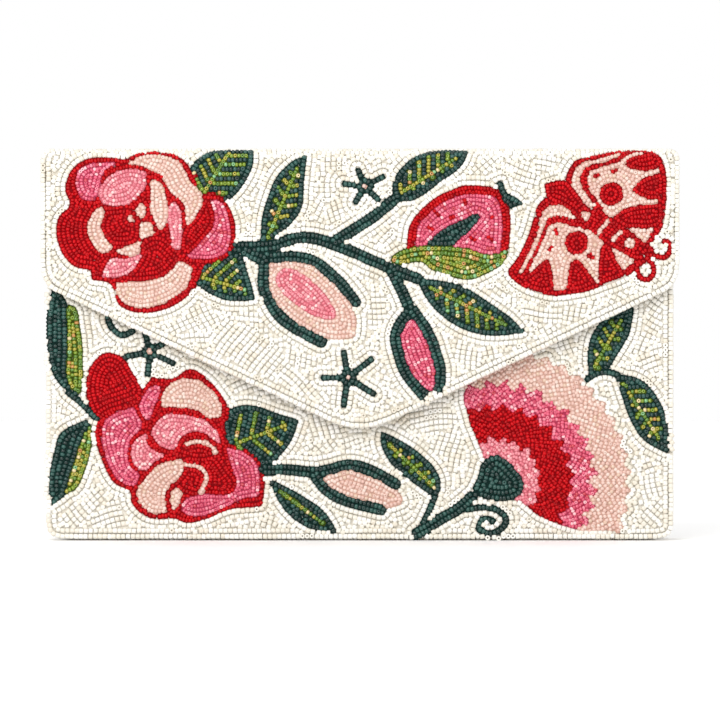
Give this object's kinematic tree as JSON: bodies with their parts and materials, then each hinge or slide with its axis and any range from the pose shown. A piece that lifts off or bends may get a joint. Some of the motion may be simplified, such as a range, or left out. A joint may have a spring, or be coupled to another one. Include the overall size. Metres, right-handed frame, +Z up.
{
  "type": "envelope clutch purse",
  "caption": "Flat envelope clutch covered in floral seed-bead embroidery, with a pointed flap, magnetic snap, side gussets and satin lining.",
  "frame": {"origin": "middle of the flat base, under the middle of the closed purse", "axes": "+Z up, +X to the right seen from the front, the flap faces -Y"},
  "size_m": [0.27, 0.036, 0.166],
  "materials": {
    "ivory_beads": "opaque gloss seed beads",
    "red_beads": "opaque gloss seed beads",
    "fuchsia_beads": "colour-lined seed beads",
    "pink_beads": "colour-lined seed beads",
    "pale_pink_beads": "pearl seed beads",
    "green_beads": "opaque gloss seed beads",
    "lime_beads": "iridescent seed beads",
    "cover_cloth": "plain woven ivory cloth",
    "lining_satin": "cream satin",
    "stiffener_board": "matt fibre board",
    "snap_metal": "polished light gold",
    "magnet": "satin nickel"
  },
  "bodies": {
    "body": {"back_beads": "ivory_beads", "back_cover": "cover_cloth", "back_board": "stiffener_board", "back_lining": "lining_satin", "base_beads": "ivory_beads", "base_cover": "cover_cloth", "base_board": "stiffener_board", "base_lining": "lining_satin", "left_gusset": "cover_cloth", "right_gusset": "cover_cloth", "left_gusset_lining": "lining_satin", "right_gusset_lining": "lining_satin", "slip_pocket": "lining_satin", "slip_pocket_hem": "lining_satin"},
    "front": {"front_beads": "ivory_beads", "front_cover": "cover_cloth", "front_board": "stiffener_board", "front_lining": "lining_satin", "front_top_binding": "lining_satin", "snap_socket": "snap_metal", "snap_magnet": "magnet", "snap_socket_washer": "snap_metal"},
    "spine": {"spine_beads": "ivory_beads", "spine_cover": "cover_cloth", "spine_lining": "lining_satin"},
    "flap": {"flap_beads": "ivory_beads", "flap_cover": "cover_cloth", "flap_board": "stiffener_board", "flap_lining": "lining_satin", "snap_stud": "snap_metal", "snap_stud_washer": "snap_metal"}
  },
  "joints": [
    {"name": "spine_fold", "type": "hinge", "parent": "body", "child": "spine", "pos_m": [0, 0.014, 0.162], "axis": [-1, 0, 0], "range_deg": [0, 90]},
    {"name": "flap_fold", "type": "hinge", "parent": "spine", "child": "flap", "pos_m": [0, -0.014, 0.162], "axis": [-1, 0, 0], "range_deg": [0, 90]},
    {"name": "mouth_open", "type": "hinge", "parent": "body", "child": "front", "pos_m": [0, -0.009, 0.004], "axis": [1, 0, 0], "range_deg": [0, 9]}
  ],
  "couplings": [
    {"joint": "flap_fold", "follows": "spine_fold", "ratio": 1},
    {"joint": "mouth_open", "follows": "spine_fold", "ratio": 0.1}
  ]
}
